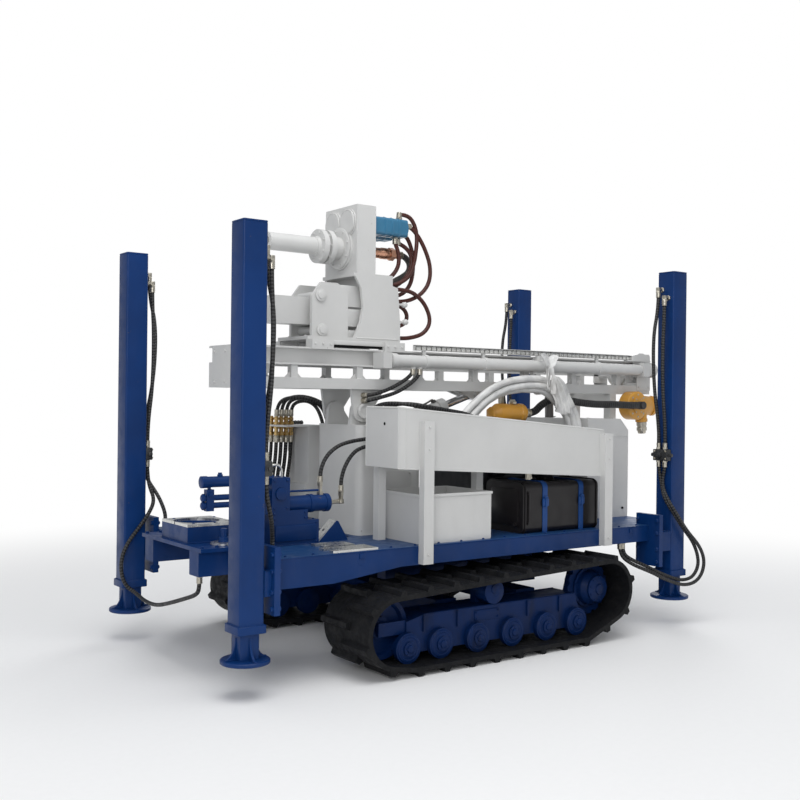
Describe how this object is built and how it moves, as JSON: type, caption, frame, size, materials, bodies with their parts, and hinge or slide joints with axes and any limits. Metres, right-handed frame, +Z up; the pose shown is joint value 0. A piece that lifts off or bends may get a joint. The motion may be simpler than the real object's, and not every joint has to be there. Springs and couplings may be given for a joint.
{
  "type": "water well drilling rig",
  "caption": "Crawler water well drilling rig with a level tilting mast, sliding drill head, breakout clamp, and a tall levelling leg at each corner",
  "frame": {"origin": "on the ground, under the middle of the whole machine's box", "axes": "+X towards the drilling end, +Y to the machine's left side, +Z up"},
  "size_m": [3.578, 1.8, 2.545],
  "materials": {
    "blue_paint": "gloss",
    "deck_paint": "satin",
    "light_paint": "satin",
    "polished_rod": "polished",
    "track_rubber": "matte",
    "tank_paint": "satin",
    "strap_paint": "satin",
    "engine_paint": "matte",
    "chain_steel": "oiled",
    "motor_paint": "satin",
    "copper_fitting": "worn",
    "hose_rubber": "matte",
    "red_hose": "satin",
    "wrapped_hose": "wrinkled film",
    "yellow_paint": "satin",
    "fitting_steel": "zinc plated",
    "zinc_plate": "bright zinc"
  },
  "bodies": {
    "root": {"leg_tubes": "blue_paint", "side_beams": "blue_paint", "cross_beams": "blue_paint", "deck_plate": "deck_paint", "leg_flanges": "blue_paint", "track_left": "track_rubber", "track_right": "track_rubber", "track_rollers": "blue_paint", "sprockets": "blue_paint", "track_frames": "blue_paint", "undercarriage": "blue_paint", "mast_stand": "light_paint", "clamp_frame": "blue_paint", "clamp_cylinders": "blue_paint", "slotted_plates": "zinc_plate", "side_tray": "light_paint", "tray_posts": "light_paint", "toolbox": "light_paint", "fuel_tank": "tank_paint", "fuel_straps": "strap_paint", "engine": "engine_paint", "engine_hood": "light_paint", "control_console": "light_paint", "deck_hoses": "hose_rubber", "hose_fittings": "fitting_steel", "shelf_fittings": "copper_fitting"},
    "mast": {"mast_frame": "light_paint", "mast_brackets": "light_paint", "feed_cylinder": "light_paint", "feed_chain": "chain_steel", "mast_hoses": "hose_rubber", "hose_coil": "wrapped_hose", "lubricators": "yellow_paint"},
    "carriage": {"carriage": "light_paint", "gearbox": "light_paint", "drive_motors": "motor_paint", "swivel": "copper_fitting", "head_hoses": "red_hose"},
    "spindle": {"spindle": "light_paint"},
    "lift_barrel": {"lift_barrel": "light_paint"},
    "lift_rod": {"lift_rod": "polished_rod"},
    "foot_front_left": {"foot_front_left": "blue_paint"},
    "foot_front_right": {"foot_front_right": "blue_paint"},
    "foot_rear_left": {"foot_rear_left": "blue_paint"},
    "foot_rear_right": {"foot_rear_right": "blue_paint"}
  },
  "joints": [
    {"name": "mast_tilt", "type": "hinge", "parent": "root", "child": "mast", "pos_m": [0.638, 0, 1.355], "axis": [0, 1, 0], "range_deg": [0, 90]},
    {"name": "head_feed", "type": "slide", "parent": "mast", "child": "carriage", "axis": [-1, 0, 0], "range_m": [0, 1.9]},
    {"name": "spindle_turn", "type": "hinge", "parent": "carriage", "child": "spindle", "pos_m": [0.691, 0, 2.305], "axis": [1, 0, 0], "continuous": true},
    {"name": "lift_swing", "type": "hinge", "parent": "root", "child": "lift_barrel", "pos_m": [0.533, 0, 1.179], "axis": [0, 1, 0], "range_deg": [0, 82.5]},
    {"name": "lift_stroke", "type": "slide", "parent": "lift_barrel", "child": "lift_rod", "axis": [-0.9481, 0, 0.3179], "range_m": [0, 0.2555]},
    {"name": "leg_front_left_lift", "type": "slide", "parent": "root", "child": "foot_front_left", "axis": [0, 0, -1], "range_m": [0, 1.4]},
    {"name": "leg_front_right_lift", "type": "slide", "parent": "root", "child": "foot_front_right", "axis": [0, 0, -1], "range_m": [0, 1.4]},
    {"name": "leg_rear_left_lift", "type": "slide", "parent": "root", "child": "foot_rear_left", "axis": [0, 0, -1], "range_m": [0, 1.4]},
    {"name": "leg_rear_right_lift", "type": "slide", "parent": "root", "child": "foot_rear_right", "axis": [0, 0, -1], "range_m": [0, 1.4]}
  ],
  "couplings": [
    {"joint": "lift_swing", "follows": "mast_tilt", "ratio": 0.91333},
    {"joint": "lift_stroke", "follows": "mast_tilt", "m_per_rad": 0.16204}
  ]
}
